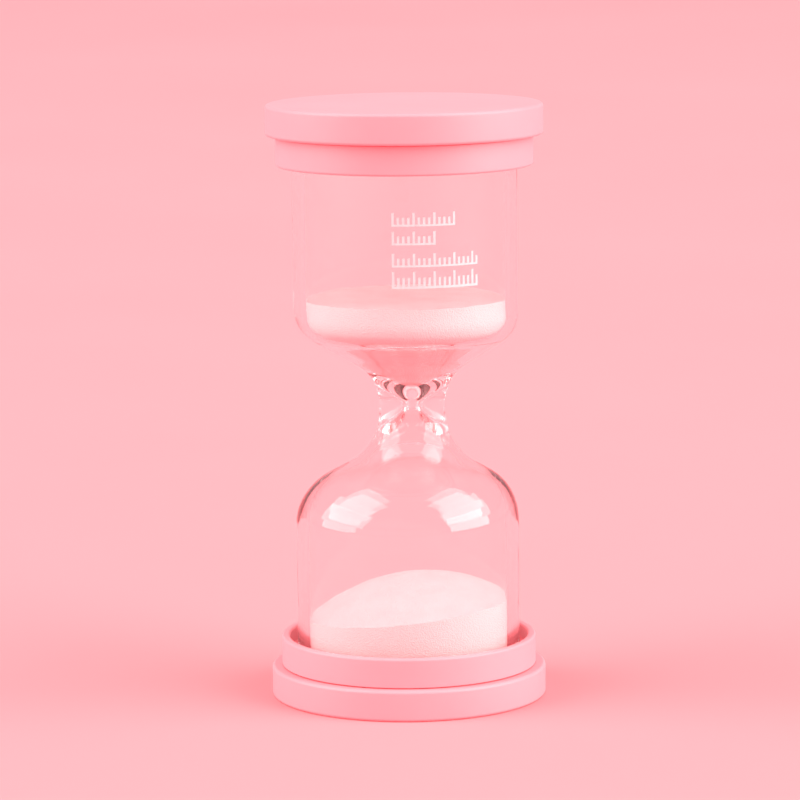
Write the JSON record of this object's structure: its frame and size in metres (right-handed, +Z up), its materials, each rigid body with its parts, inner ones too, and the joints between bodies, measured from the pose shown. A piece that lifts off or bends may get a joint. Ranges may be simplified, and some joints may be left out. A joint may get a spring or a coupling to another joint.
{
  "type": "hourglass",
  "caption": "Hourglass sand timer: a clear waisted glass body holding fine pale sand, with a round stepped plastic cap pressed on each end.",
  "frame": {"origin": "centre of the flat underside of the base end plate, on the timer's axis", "axes": "+Z up along the timer's axis, from the base cap to the top cap; -Y is the side that faces the viewer and carries the printed marks"},
  "size_m": [0.05, 0.05, 0.108],
  "materials": {
    "cap_plastic": "satin injection moulding, pastel pink",
    "foam": "closed-cell foam, matt",
    "glass": "clear, fire polished",
    "sand": "fine dry grains, pale pink",
    "stopper": "translucent silicone rubber"
  },
  "bodies": {
    "base_cap": {"base_end_plate": "cap_plastic", "base_collar": "cap_plastic", "base_pad": "foam"},
    "glass": {"glass_body": "glass", "fill_stopper": "stopper", "upper_sand": "sand", "lower_sand": "sand"},
    "top_cap": {"top_end_plate": "cap_plastic", "top_collar": "cap_plastic", "top_pad": "foam"}
  },
  "joints": [
    {"name": "glass_pull", "type": "slide", "parent": "base_cap", "child": "glass", "axis": [0, 0, 1], "range_m": [0, 0.015]},
    {"name": "top_cap_pull", "type": "slide", "parent": "glass", "child": "top_cap", "axis": [0, 0, 1], "range_m": [0, 0.015]}
  ]
}
